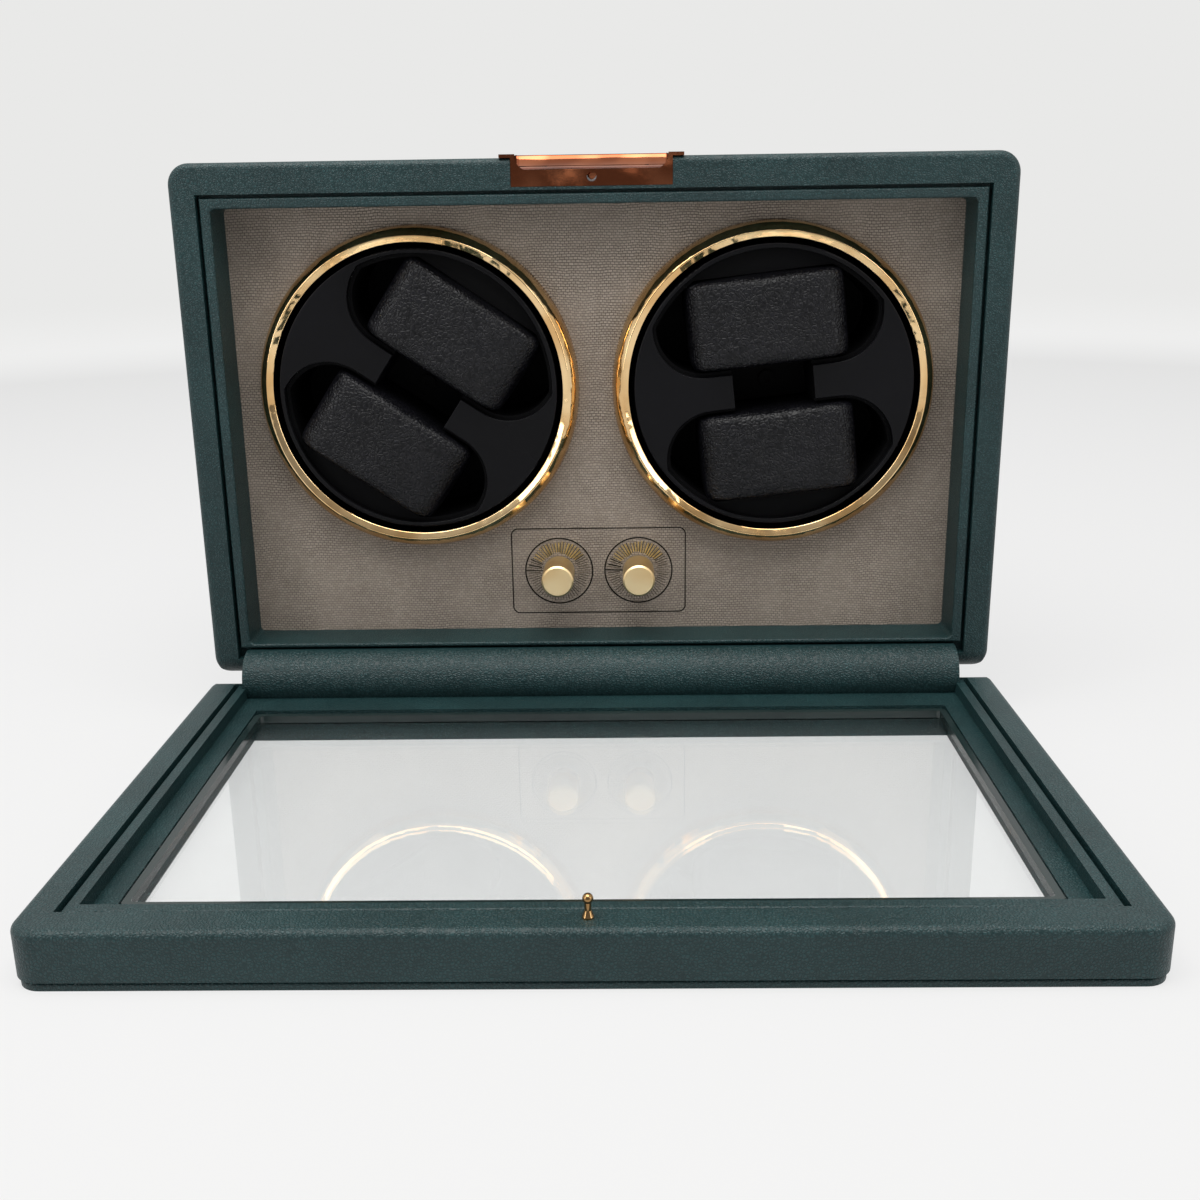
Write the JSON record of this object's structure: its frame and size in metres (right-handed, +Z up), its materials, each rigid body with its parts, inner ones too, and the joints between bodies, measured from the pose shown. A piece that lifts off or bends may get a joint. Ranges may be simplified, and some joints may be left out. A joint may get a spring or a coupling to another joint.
{
  "type": "watch winder",
  "caption": "Leather-covered watch winder box with turning rotors, strap pillows, gilt rings, two control knobs, a push-bar lock and a glazed lid that folds down in front.",
  "frame": {"origin": "centre of the underside of the plinth that the case stands on", "axes": "+Z up, +Y from the open front towards the back of the case, +X to the right as seen from the front"},
  "size_m": [0.33, 0.3269, 0.231],
  "materials": {
    "green_leather": "fine-grained dark green, satin",
    "cover_leather": "fine-grained dark green, matt",
    "plinth_wood": "black stain",
    "taupe_leather": "cross-grained taupe, matt",
    "gilt_ring": "polished gilt",
    "rose_gilt_lock": "polished rose gilt",
    "gilt_knob": "satin turned face, polished edge",
    "gilt_stud": "polished",
    "rotor_black": "matt black",
    "sleeve_black": "matt black",
    "pillow_leather": "grained black, satin",
    "lid_glass": "clear",
    "bezel_gloss": "gloss",
    "dial_dark": "dark bronze with pale scale lines",
    "gear_nylon": "natural nylon",
    "steel": "bright",
    "motor_case": "zinc plated",
    "pot_case": "plated",
    "circuit_board": "solder mask green",
    "standoff_brass": "turned",
    "jack_plastic": "black"
  },
  "bodies": {
    "case": {"case_shell": "green_leather", "case_liner": "green_leather", "front_panel": "taupe_leather", "back_cover": "cover_leather", "back_screws": "steel", "plinth": "plinth_wood", "plinth_screws": "steel", "ring_left": "gilt_ring", "ring_right": "gilt_ring", "sleeve_left": "sleeve_black", "sleeve_right": "sleeve_black", "shaft_bearings": "steel", "motor_left": "motor_case", "motor_right": "motor_case", "motor_screws": "steel", "sleeve_screws": "steel", "control_plate": "taupe_leather", "dial_discs": "dial_dark", "pot_left": "pot_case", "pot_right": "pot_case", "pot_nuts": "steel", "control_board": "circuit_board", "board_standoffs": "standoff_brass", "dc_jack": "jack_plastic", "lock_housing": "rose_gilt_lock", "lock_screws": "steel", "latch_springs": "steel", "hinge_straps": "steel", "strap_screws": "steel"},
    "lid": {"lid_frame": "green_leather", "lid_liner": "green_leather", "glass_bezel": "bezel_gloss", "lid_glass": "lid_glass", "lid_trim": "green_leather", "hinge_barrel": "green_leather", "barrel_screws": "steel", "ball_stud": "gilt_stud", "hinge_rod": "steel"},
    "latch": {"push_bar": "rose_gilt_lock", "latch_plate": "steel"},
    "left_rotor": {"rotor_cup_left": "rotor_black", "rotor_face_left": "rotor_black", "rotor_shaft_left": "steel", "drive_gear_left": "gear_nylon", "hub_screw_left": "steel"},
    "left_pinion": {"pinion_left": "gear_nylon"},
    "left_knob": {"knob_left": "gilt_knob", "pot_shaft_left": "steel"},
    "left_upper_pillow": {"pillow_left_upper": "pillow_leather"},
    "left_lower_pillow": {"pillow_left_lower": "pillow_leather"},
    "right_rotor": {"rotor_cup_right": "rotor_black", "rotor_face_right": "rotor_black", "rotor_shaft_right": "steel", "drive_gear_right": "gear_nylon", "hub_screw_right": "steel"},
    "right_pinion": {"pinion_right": "gear_nylon"},
    "right_knob": {"knob_right": "gilt_knob", "pot_shaft_right": "steel"},
    "right_upper_pillow": {"pillow_right_upper": "pillow_leather"},
    "right_lower_pillow": {"pillow_right_lower": "pillow_leather"}
  },
  "joints": [
    {"name": "lid_hinge", "type": "hinge", "parent": "case", "child": "lid", "pos_m": [0, -0.0605, 0.0194], "axis": [-1, 0, 0], "range_deg": [0, 90]},
    {"name": "left_rotor_spin", "type": "hinge", "parent": "case", "child": "left_rotor", "pos_m": [-0.07325, -0.0305, 0.139], "axis": [0, 1, 0], "continuous": true},
    {"name": "left_pinion_spin", "type": "hinge", "parent": "case", "child": "left_pinion", "pos_m": [-0.07325, 0.0125, 0.099], "axis": [0, 1, 0], "continuous": true},
    {"name": "left_upper_pillow_pull", "type": "slide", "parent": "left_rotor", "child": "left_upper_pillow", "axis": [0, 1, 0], "range_m": [-0.06, 0]},
    {"name": "left_lower_pillow_pull", "type": "slide", "parent": "left_rotor", "child": "left_lower_pillow", "axis": [0, 1, 0], "range_m": [-0.06, 0]},
    {"name": "left_knob_turn", "type": "hinge", "parent": "case", "child": "left_knob", "pos_m": [-0.01715, -0.0505, 0.0598], "axis": [0, 1, 0], "range_deg": [-150, 150]},
    {"name": "right_rotor_spin", "type": "hinge", "parent": "case", "child": "right_rotor", "pos_m": [0.07325, -0.0305, 0.139], "axis": [0, 1, 0], "continuous": true},
    {"name": "right_pinion_spin", "type": "hinge", "parent": "case", "child": "right_pinion", "pos_m": [0.07325, 0.0125, 0.099], "axis": [0, 1, 0], "continuous": true},
    {"name": "right_upper_pillow_pull", "type": "slide", "parent": "right_rotor", "child": "right_upper_pillow", "axis": [0, 1, 0], "range_m": [-0.06, 0]},
    {"name": "right_lower_pillow_pull", "type": "slide", "parent": "right_rotor", "child": "right_lower_pillow", "axis": [0, 1, 0], "range_m": [-0.06, 0]},
    {"name": "right_knob_turn", "type": "hinge", "parent": "case", "child": "right_knob", "pos_m": [0.01715, -0.0505, 0.0598], "axis": [0, 1, 0], "range_deg": [-150, 150]},
    {"name": "latch_press", "type": "slide", "parent": "case", "child": "latch", "axis": [0, 0, -1], "range_m": [0, 0.0008], "stiffness_N_per_m": 800, "deforming": ["latch_springs"]}
  ],
  "couplings": [
    {"joint": "left_pinion_spin", "follows": "left_rotor_spin", "ratio": -3},
    {"joint": "right_pinion_spin", "follows": "right_rotor_spin", "ratio": -3}
  ]
}
